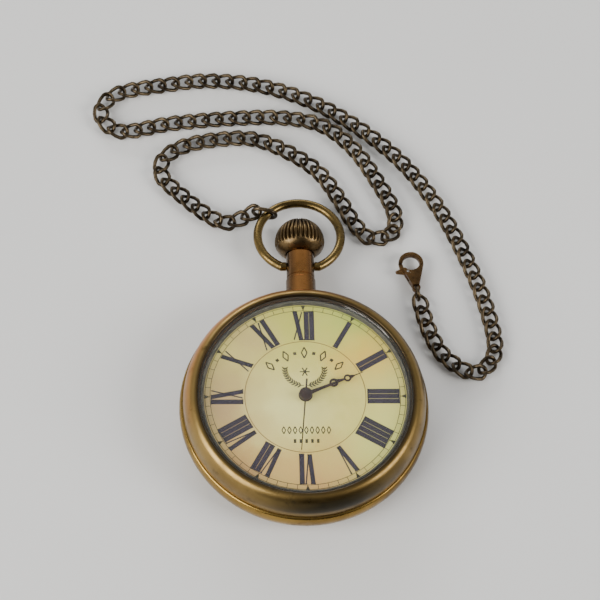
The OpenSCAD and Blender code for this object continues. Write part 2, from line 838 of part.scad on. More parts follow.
module clasp_pin() {
    color("#9c9c98") place_clasp() translate([clasp_pivot[0], clasp_pivot[1], -clasp_t / 2])
        cylinder(r = clasp_pin_r, h = clasp_t);
}

module clasp_spring() {
    color("#b8b8b3") place_clasp() translate([0, 0, -0.2]) linear_extrude(0.4)
        polygon([[0.02, 2.3], [0.17, 2.3], [0.5, 3.9], [0.42, 4.4], [-0.1, 4], [0, 3.9],
            [0.33, 4.1], [0.34, 3.8]]);
}

// ---- the nodes ----

case_body();
back_cover();
back_gasket();
bezel();
crystal();
crystal_gasket();
inner_ring();
dial();
dial_washer();
hour_hand();
minute_hand();
second_hand();
pendant();
pendant_sleeve();
bow();
crown();
stem();
crown_gasket();
sliding_pinion();
setting_lever();
lever_spring();
movement_holder();
main_plate();
train_bridge();
bridge_screws();
coil();
coil_core();
stator();
rotor();
intermediate_wheel();
second_wheel();
third_wheel();
centre_wheel();
minute_wheel();
hour_wheel();
circuit_board();
quartz_resonator();
control_chip();
battery();
battery_clamp();
end_ring();
chain_run(1);  // chain_links_1
chain_run(2);  // chain_links_2
chain_run(3);  // chain_links_3
chain_run(4);  // chain_links_4
chain_run(5);  // chain_links_5
chain_run(6);  // chain_links_6
chain_run(7);  // chain_links_7
chain_run(8);  // chain_links_8
clasp_ring();
clasp_frame();
clasp_lever();
clasp_pin();
clasp_spring();
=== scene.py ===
from math import asin, atan2, cos, degrees, pi, radians, sin, sqrt

import bpy
from mathutils import Matrix, Vector


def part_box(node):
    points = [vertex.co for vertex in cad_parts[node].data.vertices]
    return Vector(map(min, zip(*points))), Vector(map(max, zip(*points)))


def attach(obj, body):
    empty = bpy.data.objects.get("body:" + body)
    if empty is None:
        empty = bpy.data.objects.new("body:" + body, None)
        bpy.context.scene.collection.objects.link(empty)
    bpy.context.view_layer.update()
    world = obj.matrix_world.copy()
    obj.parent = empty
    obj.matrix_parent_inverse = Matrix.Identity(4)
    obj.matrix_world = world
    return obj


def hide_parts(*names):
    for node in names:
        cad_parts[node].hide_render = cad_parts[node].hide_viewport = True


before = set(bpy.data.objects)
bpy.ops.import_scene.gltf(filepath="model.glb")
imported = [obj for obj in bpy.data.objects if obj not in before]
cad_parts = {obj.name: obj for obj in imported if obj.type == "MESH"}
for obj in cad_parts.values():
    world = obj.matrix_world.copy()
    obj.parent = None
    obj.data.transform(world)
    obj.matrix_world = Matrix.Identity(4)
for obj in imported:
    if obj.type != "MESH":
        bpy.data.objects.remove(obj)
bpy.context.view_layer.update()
MM = 0.001

# ---- camera ----
# A long lens that looks down on the dial from beyond six o'clock, a little to the left and
# turned a few degrees.

azimuth, elevation, roll = radians(-6.514), radians(63.293), radians(5.699)
look_at = Vector((-0.583, 23.65, 11)) * MM
distance = 555.8 * MM
away = Vector((sin(azimuth) * cos(elevation), -cos(azimuth) * cos(elevation), sin(elevation)))
level = Vector((cos(azimuth), sin(azimuth), 0))
upright = away.cross(level)
right = cos(roll) * level + sin(roll) * upright
up = cos(roll) * upright - sin(roll) * level
bpy.ops.object.camera_add()
camera = bpy.context.object
stance = Matrix((right, up, away)).transposed().to_4x4()
camera.matrix_world = Matrix.Translation(look_at + away * distance) @ stance
camera.data.lens = 150
camera.data.sensor_width = 36
camera.data.clip_start = 0.01
bpy.context.scene.camera = camera

# ---- chain ----
# A curb chain of antiqued bronze wire: every link is cut from a coil, closed and twisted, so
# that the whole chain lies flat. It runs from the bow in loose bends to the clasp.

LIE = 1.57
ROUTE = [
    (-10.9, 49.9, 2.9), (-14.2, 48.5, 2.2), (-17, 48.3, 1.65), (-21, 50.4, LIE),
    (-27, 55.7, LIE), (-31.2, 60.5, LIE), (-30.8, 65, LIE), (-26, 68.5, LIE),
    (-18, 70.3, LIE), (-10, 70.4, LIE), (-2, 67, LIE), (5, 61.7, LIE),
    (9.5, 54.8, LIE), (13, 48, LIE), (16.6, 44.2, LIE), (21.6, 45.6, LIE),
    (22.2, 51.2, LIE), (18.5, 59.5, LIE), (13.5, 67.8, LIE), (6.5, 74, LIE),
    (-3, 76.2, LIE), (-15, 76, LIE), (-29, 74.6, LIE), (-40.8, 72.5, LIE),
    (-45.5, 77.2, LIE), (-41.8, 82.6, LIE), (-30, 85.2, LIE), (-20, 86.3, LIE),
    (-8, 85, LIE), (4, 80.6, LIE), (15, 73.4, LIE), (25, 63.8, LIE),
    (33, 51.4, LIE), (39, 37.2, LIE), (42.6, 25, LIE), (43.5, 15, LIE),
    (38.8, 10, LIE), (32.3, 14, LIE), (29, 20.5, LIE), (27.3, 27.4, 1.7),
]
LINK_WIRE, LINK_L, LINK_W, LINK_PITCH, LINK_TWIST = 0.9, 5.5, 4.0, 3.2, 106


def smooth_route(stops, steps):
    """The points of a smooth curve through all stops."""
    points = [Vector(stop) * MM for stop in stops]
    last = len(points) - 1
    curve = []
    for i in range(last):
        a, b, c, d = (points[max(0, min(last, k))] for k in (i - 1, i, i + 1, i + 2))
        for k in range(steps):
            t = k / steps
            curve.append(0.5 * (2 * b + (c - a) * t + (2 * a - 5 * b + 4 * c - d) * t ** 2
                                + (3 * b - a - 3 * c + d) * t ** 3))
    return curve + [points[last]]


def along(curve, distances, s):
    """The point of the curve that lies s from its start."""
    s = max(0, min(distances[-1], s))
    k = next(i for i in range(1, len(curve)) if distances[i] >= s - 1e-9)
    share = (s - distances[k - 1]) / (distances[k] - distances[k - 1])
    return curve[k - 1].lerp(curve[k], share)


def only(*pieces):
    """Leaves just these pieces selected, the first one active."""
    bpy.ops.object.select_all(action="DESELECT")
    for piece in pieces:
        piece.select_set(True)
    bpy.context.view_layer.objects.active = pieces[0]


def pick(piece, test):
    """In edit mode, selects the vertices whose place passes the test."""
    bpy.ops.mesh.select_all(action="DESELECT")
    bpy.ops.object.mode_set(mode="OBJECT")
    for vertex in piece.data.vertices:
        vertex.select = bool(test(vertex.co))
    bpy.ops.object.mode_set(mode="EDIT")


def wire_link(name, length, width, wire, twist, around=28, section=8):
    """A closed wire link that lies along X, its far end turned by twist against its near end."""
    bpy.ops.object.select_all(action="DESELECT")
    bpy.ops.mesh.primitive_torus_add(
        major_radius=(width - wire) / 2 * MM, minor_radius=wire / 2 * MM,
        major_segments=around, minor_segments=section, location=(0, 0, 0))
    piece = bpy.context.object
    piece.name = name
    bpy.ops.object.mode_set(mode="EDIT")
    for side in (-1, 1):
        pick(piece, lambda co: co.x * side > 0.01 * MM)
        bpy.ops.transform.translate(value=(side * (length - width) / 2 * MM, 0, 0))
    bpy.ops.object.mode_set(mode="OBJECT")
    if twist:
        deform = piece.modifiers.new("twist", "SIMPLE_DEFORM")
        deform.deform_method = "TWIST"
        deform.deform_axis = "X"
        deform.angle = radians(twist)
        bpy.ops.object.modifier_apply(modifier="twist")
    bpy.ops.object.shade_smooth()
    return piece


curve = smooth_route(ROUTE, 8)
distances = [0]
for here, after in zip(curve, curve[1:]):
    distances.append(distances[-1] + (after - here).length)
route_length = distances[-1]
link_count = round(route_length / (LINK_PITCH * MM)) + 1
pitch = route_length / (link_count - 1)

pattern = wire_link("pattern_link", LINK_L, LINK_W, LINK_WIRE, LINK_TWIST)
links = []
for i in range(link_count):
    ahead = along(curve, distances, (i + 0.5) * pitch) - along(curve, distances, (i - 0.5) * pitch)
    turn = Matrix.Rotation(atan2(ahead.y, ahead.x), 4, "Z")
    climb = Matrix.Rotation(-asin(ahead.z / ahead.length), 4, "Y")
    link = pattern.copy()
    link.data = pattern.data.copy()
    link.data.transform(Matrix.Translation(along(curve, distances, i * pitch)) @ turn @ climb)
    bpy.context.collection.objects.link(link)
    links.append(link)
bpy.data.objects.remove(pattern)
only(*links)
bpy.ops.object.join()
chain = links[0]
chain.name = "curb_chain"


def node(tree, kind, inputs=None, **settings):
    """A node with these settings, its inputs set to values or joined to sockets."""
    new = tree.nodes.new(kind)
    for key, value in settings.items():
        setattr(new, key, value)
    for key, value in (inputs or {}).items():
        if isinstance(value, bpy.types.NodeSocket):
            tree.links.new(value, new.inputs[key])
        else:
            new.inputs[key].default_value = value
    return new


def value_of(tree, operation, *terms):
    """The output of a Math node on these terms, held between 0 and 1 where that is asked."""
    clamp = operation.endswith("_HELD")
    maths = node(tree, "ShaderNodeMath", operation=operation.replace("_HELD", ""), use_clamp=clamp)
    for i, term in enumerate(terms):
        if isinstance(term, bpy.types.NodeSocket):
            tree.links.new(term, maths.inputs[i])
        else:
            maths.inputs[i].default_value = term
    return maths.outputs[0]


def mixed(tree, share, first, second):
    return node(tree, "ShaderNodeMixRGB", {"Fac": share, "Color1": first, "Color2": second}).outputs[0]


def ranged(tree, value, low, high, to_low=0.0, to_high=1.0):
    return node(tree, "ShaderNodeMapRange", {"Value": value, "From Min": low, "From Max": high,
                                             "To Min": to_low, "To Max": to_high}).outputs[0]


def srgb(red, green, blue):
    """A colour from its 0 to 255 steps on a screen."""
    steps = [c / 255 for c in (red, green, blue)]
    return (*[c / 12.92 if c <= 0.04 else ((c + 0.055) / 1.055) ** 2.4 for c in steps], 1)


def new_group(name, inputs, outputs):
    tree = bpy.data.node_groups.new(name, "ShaderNodeTree")
    for label, kind, value in inputs:
        tree.interface.new_socket(label, in_out="INPUT", socket_type=kind).default_value = value
    for label, kind in outputs:
        tree.interface.new_socket(label, in_out="OUTPUT", socket_type=kind)
    return tree, node(tree, "NodeGroupInput").outputs, node(tree, "NodeGroupOutput").inputs


# The patina of aged metal: bright and dull areas that run into each other, dark tarnish in
# spots, and a fine unevenness of the surface
COLOR, NUMBER, VECTOR = "NodeSocketColor", "NodeSocketFloat", "NodeSocketVector"
UNEVEN = 0.1 * MM
patina, given, gives = new_group(
    "patina",
    [("Bright", COLOR, (1, 1, 1, 1)), ("Dull", COLOR, (0.5, 0.5, 0.5, 1)), ("Dark", COLOR, (0, 0, 0, 1)),
     ("Scale", NUMBER, 100), ("Tarnish", NUMBER, 0.5), ("Smooth", NUMBER, 0.2), ("Rough", NUMBER, 0.4),
     ("Relief", NUMBER, 0.2)],
    [("Color", COLOR), ("Roughness", NUMBER), ("Normal", VECTOR)])
place = node(patina, "ShaderNodeTexCoord").outputs["Object"]
broad = node(patina, "ShaderNodeTexNoise", {"Vector": place, "Scale": given["Scale"], "Detail": 3}).outputs[0]
fine_scale = value_of(patina, "MULTIPLY", given["Scale"], 6)
fine = node(patina, "ShaderNodeTexNoise", {
    "Vector": place, "Scale": fine_scale, "Detail": 7, "Roughness": 0.6}).outputs[0]
grit = node(patina, "ShaderNodeTexNoise", {
    "Vector": place, "Scale": value_of(patina, "MULTIPLY", given["Scale"], 28), "Detail": 3}).outputs[0]
blend = ranged(patina, value_of(patina, "ADD", broad, value_of(patina, "MULTIPLY", fine, 0.35)), 0.5, 0.85)
limit = value_of(patina, "SUBTRACT", 0.72, value_of(patina, "MULTIPLY", given["Tarnish"], 0.25))
spots = value_of(patina, "MULTIPLY_HELD", value_of(patina, "SUBTRACT", fine, limit), 7)
patches = value_of(patina, "MULTIPLY_HELD", value_of(patina, "SUBTRACT", broad, limit), 4)
tarnish = value_of(patina, "MAXIMUM", spots, patches)
shade = mixed(patina, blend, given["Bright"], given["Dull"])
darkness = value_of(patina, "MULTIPLY", tarnish, 0.85)
patina.links.new(mixed(patina, darkness, shade, given["Dark"]), gives["Color"])
spread = value_of(patina, "SUBTRACT", given["Rough"], given["Smooth"])
mottle = ranged(patina, fine, 0.3, 0.7)
base_rough = value_of(patina, "ADD", given["Smooth"], value_of(patina, "MULTIPLY", spread, mottle))
dry = value_of(patina, "MULTIPLY", tarnish, 0.12)
patina.links.new(value_of(patina, "ADD", base_rough, dry), gives["Roughness"])
swell, pits = value_of(patina, "MULTIPLY", fine, 0.6), value_of(patina, "MULTIPLY", grit, 0.4)
height = value_of(patina, "ADD", swell, pits)
uneven = node(patina, "ShaderNodeBump", {"Height": height, "Strength": given["Relief"], "Distance": UNEVEN})
patina.links.new(uneven.outputs[0], gives["Normal"])


def aged_metal(name, bright, dull, dark, scale, tarnish, smooth, rough, relief=0.2):
    """A metal with the patina of these colours and values."""
    material = bpy.data.materials.new(name)
    material.use_nodes = True
    tree = material.node_tree
    look = node(tree, "ShaderNodeGroup", node_tree=patina)
    values = {"Bright": bright, "Dull": dull, "Dark": dark, "Scale": scale, "Tarnish": tarnish,
              "Smooth": smooth, "Rough": rough, "Relief": relief}
    for key, value in values.items():
        look.inputs[key].default_value = value
    skin = tree.nodes["Principled BSDF"]
    skin.inputs["Metallic"].default_value = 1
    for source, target in (("Color", "Base Color"), ("Roughness", "Roughness"), ("Normal", "Normal")):
        tree.links.new(look.outputs[source], skin.inputs[target])
    return material


def fit(piece, material, slot, body, *nodes):
    """Gives a finished piece its material and its body, and hides the CAD nodes it stands for. The slot is
    not used.
    """
    piece.data.materials.clear()
    piece.data.materials.append(material)
    if nodes:
        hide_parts(*nodes)
    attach(piece, body)
    return piece


chain_bronze = aged_metal("chain_bronze", srgb(90, 78, 60), srgb(58, 50, 39), srgb(28, 22, 18), 260, 0.6,
                          0.22, 0.46, 0.35)
fit(chain, chain_bronze, "chain_bronze", "chain", *[f"chain_links_{k}" for k in range(1, 9)])

# ---- rings at the chain's two ends ----
# Jump rings bent from the chain's own wire: an oval one round the bow and a small round one
# through the tail of the clasp, both sprung open and closed again.


def place_of(node_name):
    low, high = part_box(node_name)
    return (low + high) / 2


END_RING_L, END_RING_W, END_RING_TURN = 4.4 + 2 * LINK_WIRE, 2.6 + 2 * LINK_WIRE, radians(168)
end_ring = wire_link("bow_jump_ring", END_RING_L, END_RING_W, LINK_WIRE, 0, 64, 16)
end_ring.data.transform(Matrix.Translation(place_of("end_ring")) @ Matrix.Rotation(END_RING_TURN, 4, "Z")
                        @ Matrix.Rotation(pi / 2, 4, "X"))
fit(end_ring, chain_bronze, "chain_bronze", "chain", "end_ring")

CLASP_TURN, CLASP_WIRE, CLASP_RING_D = radians(9), 0.75, 3.65
clasp_ring = wire_link("clasp_jump_ring", CLASP_RING_D, CLASP_RING_D, CLASP_WIRE, 0, 56, 16)
clasp_ring.data.transform(Matrix.Translation(place_of("clasp_ring")) @ Matrix.Rotation(CLASP_TURN, 4, "Z")
                          @ Matrix.Rotation(pi / 2, 4, "Y"))
fit(clasp_ring, chain_bronze, "chain_bronze", "chain", "clasp_ring")

# ---- clasp ----
# A lobster clasp cast in brass: a hook that grows out of a three-cornered body, and a lever
# with a thumb tab that a leaf spring holds shut. The lever turns on a riveted steel pin.


def finished_copy(node_name, name, round_over=0.0, rounds=3, angle=32):
    """A copy of a CAD node with its corners joined, its edges rounded over and its curves smooth."""
    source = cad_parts[node_name]
    piece = bpy.data.objects.new(name, source.data.copy())
    bpy.context.collection.objects.link(piece)
    only(piece)
    bpy.ops.object.mode_set(mode="EDIT")
    bpy.ops.mesh.select_all(action="SELECT")
    bpy.ops.mesh.remove_doubles(threshold=2e-6)
    bpy.ops.mesh.dissolve_limited(angle_limit=radians(1))
    bpy.ops.object.mode_set(mode="OBJECT")
    if round_over:
        bevel = piece.modifiers.new("round_over", "BEVEL")
        bevel.width = round_over * MM
        bevel.segments = rounds
        bevel.limit_method = "ANGLE"
        bevel.angle_limit = radians(angle)
        bpy.ops.object.modifier_apply(modifier="round_over")
    bpy.ops.object.shade_smooth_by_angle(angle=radians(angle))
    return piece


clasp_brass = aged_metal("clasp_brass", srgb(128, 96, 60), srgb(92, 70, 46), srgb(40, 32, 24), 320, 0.55,
                         0.2, 0.38, 0.3)
steel = aged_metal("worn_steel", srgb(196, 196, 192), srgb(160, 160, 158), srgb(90, 88, 84), 500, 0.3,
                   0.22, 0.36)
fit(finished_copy("clasp_frame", "cast_hook", 0.34, 4), clasp_brass, "clasp_brass", "clasp", "clasp_frame")
thumb_lever = finished_copy("clasp_lever", "thumb_lever", 0.1)
fit(thumb_lever, clasp_brass, "clasp_brass", "clasp_lever", "clasp_lever")
fit(finished_copy("clasp_pin", "lever_rivet", 0.08), steel, "steel", "clasp", "clasp_pin")
fit(finished_copy("clasp_spring", "lever_leaf", 0.02, 1), steel, "steel", "clasp", "clasp_spring")

# ---- bezel ----
# A wide cushion-shaped ring turned from brass, polished and then antiqued, that snaps over the
# case's neck. Its inner lip, darkened with painted shade, holds the glass.


def arc(centre, a, b, start, end, count):
    """Points of an elliptical arc, angles in degrees."""
    return [(centre[0] + a * cos(radians(start + (end - start) * i / count)),
             centre[1] + b * sin(radians(start + (end - start) * i / count))) for i in range(count + 1)]


def turned(name, outline, steps=160, origin=(0, 0, 0), side=(1, 0, 0), axis=(0, 0, 1), angle=34):
    """A piece turned on a lathe: its outline, as radius and height, spun round the axis."""
    origin, side, axis = Vector(origin), Vector(side), Vector(axis)
    points = [(origin + side * radius + axis * height) * MM for radius, height in outline]
    bpy.ops.object.select_all(action="DESELECT")
    bpy.ops.mesh.primitive_plane_add(size=MM, location=(0, 0, 0))
    piece = bpy.context.object
    piece.name = name
    bpy.ops.object.mode_set(mode="EDIT")
    bpy.ops.mesh.select_all(action="SELECT")
    bpy.ops.mesh.merge(type="CENTER")
    bpy.ops.transform.translate(value=points[0])
    for here, after in zip(points, points[1:]):
        bpy.ops.mesh.extrude_region_move(TRANSFORM_OT_translate={"value": after - here})
    bpy.ops.mesh.select_all(action="SELECT")
    bpy.ops.mesh.remove_doubles(threshold=1e-6)
    bpy.ops.mesh.spin(steps=steps, angle=2 * pi, center=origin * MM, axis=axis)
    bpy.ops.mesh.select_all(action="SELECT")
    bpy.ops.mesh.remove_doubles(threshold=1e-6)
    bpy.ops.mesh.normals_make_consistent(inside=False)
    bpy.ops.object.mode_set(mode="OBJECT")
    bpy.ops.object.shade_smooth_by_angle(angle=radians(angle))
    return piece


BORE_R, NECK_R, SEAM_R, DIAL_Z, BEZEL_Z = 22.85, 24.8, 26.7, 11.0, 7.4
GLASS_Z, CREST_Z, LIP_R = 12.25, 13.55, 23.5
outline = [(NECK_R + 0.08, BEZEL_Z), (SEAM_R - 0.12, BEZEL_Z)]
outline += arc((SEAM_R - 0.12, BEZEL_Z + 0.12), 0.12, 0.12, -80, 0, 3)
outline += arc((LIP_R + 0.4, BEZEL_Z + 1), SEAM_R - 0.05 - LIP_R - 0.4, CREST_Z - BEZEL_Z - 1, 0, 90, 28)
outline += arc((LIP_R + 0.25, CREST_Z - 0.25), 0.25, 0.25, 95, 180, 5)
outline += [(LIP_R, GLASS_Z), (BORE_R + 0.05, GLASS_Z), (BORE_R + 0.05, DIAL_Z + 0.2),
            (NECK_R + 0.08, DIAL_Z + 0.2), (NECK_R + 0.08, BEZEL_Z)]
bezel = turned("bezel_ring", outline, 192)
bezel_brass = aged_metal("bezel_brass", srgb(156, 130, 78), srgb(116, 94, 54), srgb(62, 54, 36), 42, 0.5,
                         0.27, 0.4, 0.1)
# Painted reflections on the slope: nearly black towards six o'clock and brown towards two, standing in
# for dark surroundings, and a coppery painted highlight towards ten. Painted shade darkens its inner lip
SLOPE_PAINTED_REFLECTIONS = [  # the way that it lies, from how far out in mm, strength, colour
    ((0.2, -0.98, 0), 18, 0.95, srgb(34, 32, 24)),
    ((0.75, 0.66, 0), 19, 0.7, srgb(58, 44, 30)),
    ((-0.62, 0.78, 0), 8, 0.7, srgb(206, 128, 56))]


def skin_of(material):
    """A material's tree and shader, the colour that it has so far, and the place on the surface."""
    tree = material.node_tree
    skin = tree.nodes["Principled BSDF"]
    shade = skin.inputs["Base Color"].links[0].from_socket
    return tree, skin, shade, node(tree, "ShaderNodeTexCoord").outputs["Object"]


tree, skin, shade, place = skin_of(bezel_brass)
level_of = node(tree, "ShaderNodeSeparateXYZ", {0: place}).outputs["Z"]
above, below = ranged(tree, level_of, 8.0 * MM, 9.6 * MM), ranged(tree, level_of, 13.5 * MM, 12.4 * MM)
band = value_of(tree, "MULTIPLY", above, below)
# Each painted reflection is mixed into the slope's colour according to the way the slope faces
for heading, start, depth, colour in SLOPE_PAINTED_REFLECTIONS:
    reach = node(tree, "ShaderNodeVectorMath", {0: place, 1: heading}, operation="DOT_PRODUCT")
    painted_reflection = ranged(tree, reach.outputs["Value"], start * MM, 26 * MM, 0, depth)
    mask = value_of(tree, "MULTIPLY", painted_reflection, band)
    shade = mixed(tree, mask, shade, colour)
flat = node(tree, "ShaderNodeVectorMath", {0: place, 1: (1, 1, 0)}, operation="MULTIPLY").outputs[0]
radius_of = node(tree, "ShaderNodeVectorMath", {0: flat}, operation="LENGTH").outputs["Value"]
# Painted shade along the inner lip, where its shadow line falls
lip_shade = ranged(tree, radius_of, (LIP_R + 0.15) * MM, (LIP_R + 0.9) * MM, 0.88, 0)
tree.links.new(mixed(tree, lip_shade, shade, srgb(56, 46, 36)), skin.inputs["Base Color"])
fit(bezel, bezel_brass, "bezel_brass", "bezel", "bezel")

# ---- glass ----
# A mineral glass, slightly domed, pressed into the bezel's seat with a dark plastic gasket
# round its edge.

GLASS_R, GLASS_T, DOME_H, DOME_STEPS = 23.2, 0.9, 1.3, 16


def dome(level, rise):
    """The outline of a shallow dome from its middle out, over a rim at this level."""
    shares = [i / DOME_STEPS for i in range(DOME_STEPS + 1)]
    return [(GLASS_R * share, level + rise * (1 - share ** 2)) for share in shares]


inner_dome, outer_dome = dome(GLASS_Z + 0.02, 0.85 * DOME_H), dome(GLASS_Z + GLASS_T - 0.1, DOME_H)
crystal = turned("domed_glass", inner_dome + outer_dome[::-1], 160)
glass = bpy.data.materials.new("crystal_glass")
glass.use_nodes = True
tree = glass.node_tree
skin = tree.nodes["Principled BSDF"]
skin.inputs["Base Color"].default_value = (0.97, 0.99, 0.96, 1)
skin.inputs["Transmission Weight"].default_value = 1
skin.inputs["IOR"].default_value = 1.46
skin.inputs["Specular IOR Level"].default_value = 0.3
smear = node(tree, "ShaderNodeTexNoise", {"Vector": node(tree, "ShaderNodeTexCoord").outputs["Object"],
                                          "Scale": 90, "Detail": 4})
tree.links.new(ranged(tree, smear.outputs[0], 0.4, 0.75, 0.01, 0.05), skin.inputs["Roughness"])
clear = node(tree, "ShaderNodeBsdfTransparent", {"Color": (0.96, 0.97, 0.95, 1)})
choice = node(tree, "ShaderNodeMixShader", {0: node(tree, "ShaderNodeLightPath").outputs["Is Shadow Ray"],
                                            1: skin.outputs[0], 2: clear.outputs[0]})
tree.links.new(choice.outputs[0], tree.nodes["Material Output"].inputs["Surface"])
fit(crystal, glass, "crystal_glass", "bezel", "crystal")

# ---- inner ring ----
# A pressed grey ring with a fine grained surface that fills the step between dial and glass.

ring_out = BORE_R - 0.1
inner_ring = turned("rehaut", [
    (ring_out - 0.65, DIAL_Z + 0.02), (ring_out, DIAL_Z + 0.02), (ring_out, DIAL_Z + 1.15),
    (ring_out - 0.25, DIAL_Z + 1.15), (ring_out - 0.33, DIAL_Z + 1.08), (ring_out - 0.65, DIAL_Z + 0.02)])


def coated(name, base, second, scale, rough, relief=0.1, metallic=0.0, coat=0.0):
    """A painted, printed or moulded surface: two shades that run into each other over a fine grain."""
    material = bpy.data.materials.new(name)
    material.use_nodes = True
    tree = material.node_tree
    skin = tree.nodes["Principled BSDF"]
    place = node(tree, "ShaderNodeTexCoord").outputs["Object"]
    tone = node(tree, "ShaderNodeTexNoise", {"Vector": place, "Scale": scale, "Detail": 5}).outputs[0]
    grain = node(tree, "ShaderNodeTexNoise", {"Vector": place, "Scale": scale * 12, "Detail": 2}).outputs[0]
    tree.links.new(mixed(tree, ranged(tree, tone, 0.35, 0.65), base, second), skin.inputs["Base Color"])
    tree.links.new(ranged(tree, grain, 0.3, 0.7, rough * 0.85, rough * 1.15), skin.inputs["Roughness"])
    bump = node(tree, "ShaderNodeBump", {"Height": grain, "Strength": relief, "Distance": UNEVEN})
    tree.links.new(bump.outputs[0], skin.inputs["Normal"])
    skin.inputs["Metallic"].default_value = metallic
    skin.inputs["Coat Weight"].default_value = coat
    return material


ring_grey = coated("ring_grey", srgb(66, 62, 54), srgb(46, 42, 36), 500, 0.5, 0.6, 0.1)
fit(inner_ring, ring_grey, "ring_grey", "case", "inner_ring")

# ---- dial ----
# A thin brass disc with a printed and lacquered face, made to look aged: a cream ground that
# turns yellow, tan and green in soft blotches, and a paler middle inside a thin ring.

PATCHES = [  # x, y and reach in mm, colour, strength
    (-18, -2, 15, srgb(158, 128, 90), 0.9), (-13, -17, 15, srgb(172, 130, 78), 0.9),
    (2, -20, 13, srgb(178, 134, 78), 0.85), (12, 11, 10, srgb(200, 158, 48), 0.8),
    (-2, 18, 13, srgb(168, 166, 66), 0.85), (18, -10, 11, srgb(188, 188, 104), 0.75),
    (11, 20, 11, srgb(154, 170, 66), 0.85), (-12, 14, 8, srgb(172, 150, 96), 0.8),
    (-4, -3, 12, srgb(208, 200, 136), 0.8)]
dial_print = bpy.data.materials.new("dial_print")
dial_print.use_nodes = True
tree = dial_print.node_tree
skin = tree.nodes["Principled BSDF"]
place = node(tree, "ShaderNodeTexCoord").outputs["Object"]
drift = node(tree, "ShaderNodeTexNoise", {"Vector": place, "Scale": 130, "Detail": 5, "Roughness": 0.6})
wander = node(tree, "ShaderNodeVectorMath", {0: drift.outputs["Color"], 1: (0.5, 0.5, 0.5)},
              operation="SUBTRACT")
shifted = node(tree, "ShaderNodeVectorMath", {0: wander.outputs[0], 1: (0.012, 0.012, 0), 2: place},
               operation="MULTIPLY_ADD").outputs[0]
shade = mixed(tree, ranged(tree, drift.outputs[0], 0.35, 0.65), srgb(192, 180, 100), srgb(182, 172, 88))
for x, y, reach, colour, strength in PATCHES:
    middle = (x * MM, y * MM, DIAL_Z * MM)
    gap = node(tree, "ShaderNodeVectorMath", {0: shifted, 1: middle}, operation="DISTANCE").outputs["Value"]
    shade = mixed(tree, ranged(tree, gap, 0.1 * reach * MM, reach * MM, strength, 0), shade, colour)
speckle = node(tree, "ShaderNodeTexNoise", {"Vector": place, "Scale": 1800, "Detail": 2}).outputs[0]
shade = mixed(tree, ranged(tree, speckle, 0.62, 0.75, 0, 0.12), shade, srgb(150, 120, 80))
tree.links.new(shade, skin.inputs["Base Color"])
tree.links.new(ranged(tree, drift.outputs[0], 0.3, 0.7, 0.42, 0.55), skin.inputs["Roughness"])
bump = node(tree, "ShaderNodeBump", {"Height": speckle, "Strength": 0.05, "Distance": UNEVEN})
tree.links.new(bump.outputs[0], skin.inputs["Normal"])
skin.inputs["Coat Weight"].default_value = 0.15


def dress(material, *nodes):
    """Gives CAD nodes whose shape is right a material."""
    for name in nodes:
        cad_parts[name].data.materials.clear()
        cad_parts[name].data.materials.append(material)


dress(dial_print, "dial")

# ---- print on the dial ----
# Roman numerals with their feet to the centre, a minute track and small ornaments, printed
# over the ground in dark ink by pads, a hundredth of a millimetre thick.

PRINT_Z = DIAL_Z + 0.006
NUMERAL_IN, NUMERAL_OUT, BAR, HAIR = 13.65, 20.45, 1.12, 0.3
TRACK_IN, TRACK_OUT = 20.75, 21.85
marks = []


def bar(x0, y0, x1, y1, width, turn=0.0):
    """A printed stroke between two points, in mm, turned clockwise about the dial's centre."""
    length = sqrt((x1 - x0) ** 2 + (y1 - y0) ** 2)
    bpy.ops.mesh.primitive_plane_add(size=1)
    piece = bpy.context.object
    lean = Matrix.Rotation(atan2(y1 - y0, x1 - x0), 4, "Z")
    middle = Matrix.Translation(Vector(((x0 + x1) / 2, (y0 + y1) / 2, PRINT_Z)) * MM)
    size = Matrix.Diagonal((length * MM, width * MM, 1, 1))
    piece.data.transform(Matrix.Rotation(-radians(turn), 4, "Z") @ middle @ lean @ size)
    marks.append(piece)


def ink_ring(r_in, r_out):
    """A printed circle between two radii."""
    bpy.ops.mesh.primitive_circle_add(vertices=180, radius=r_out * MM, location=(0, 0, PRINT_Z * MM))
    piece = bpy.context.object
    bpy.ops.object.mode_set(mode="EDIT")
    bpy.ops.mesh.select_all(action="SELECT")
    bpy.ops.mesh.extrude_region_move()
    bpy.ops.transform.resize(value=(r_in / r_out, r_in / r_out, 1), center_override=(0, 0, PRINT_Z * MM))
    bpy.ops.object.mode_set(mode="OBJECT")
    only(piece)
    bpy.ops.object.transform_apply(location=True, rotation=False, scale=False)
    return piece


def numeral(letters, turn):
    """A Roman numeral whose strokes stand beside each other, serifs across their ends."""
    widths = {"I": 1.19, "V": 2.35, "X": 2.45}
    x = -sum(widths[letter] for letter in letters) / 2
    low, high = NUMERAL_IN, NUMERAL_OUT
    for letter in letters:
        wide = widths[letter]
        if letter == "I":
            bar(x + wide / 2, low, x + wide / 2, high, BAR, turn)
            for y in (low, high):
                bar(x, y, x + wide, y, HAIR, turn)
        elif letter == "V":
            bar(x + 0.55, high, x + 1.25, low, BAR * 0.9, turn)
            bar(x + 2.1, high, x + 1.45, low, HAIR, turn)
            bar(x, high, x + 1.15, high, HAIR, turn)
            bar(x + 1.85, high, x + 2.3, high, HAIR, turn)
        else:
            bar(x + 0.55, high, x + wide - 0.6, low, BAR * 0.9, turn)
            bar(x + wide - 0.35, high, x + 0.3, low, HAIR, turn)
            for left, y in ((x, high), (x + wide - 1.15, low)):
                bar(left, y, left + 1.15, y, HAIR, turn)
        x += wide


def printed(name, material):
    """Joins the marks made since the last call into one print of that ink."""
    only(*marks)
    bpy.ops.object.join()
    piece = marks[0]
    piece.name = name
    marks.clear()
    film = piece.modifiers.new("film", "SOLIDIFY")
    film.thickness = 0.008 * MM
    film.offset = 0
    bpy.ops.object.modifier_apply(modifier="film")
    return fit(piece, material, "dial_print", "case")


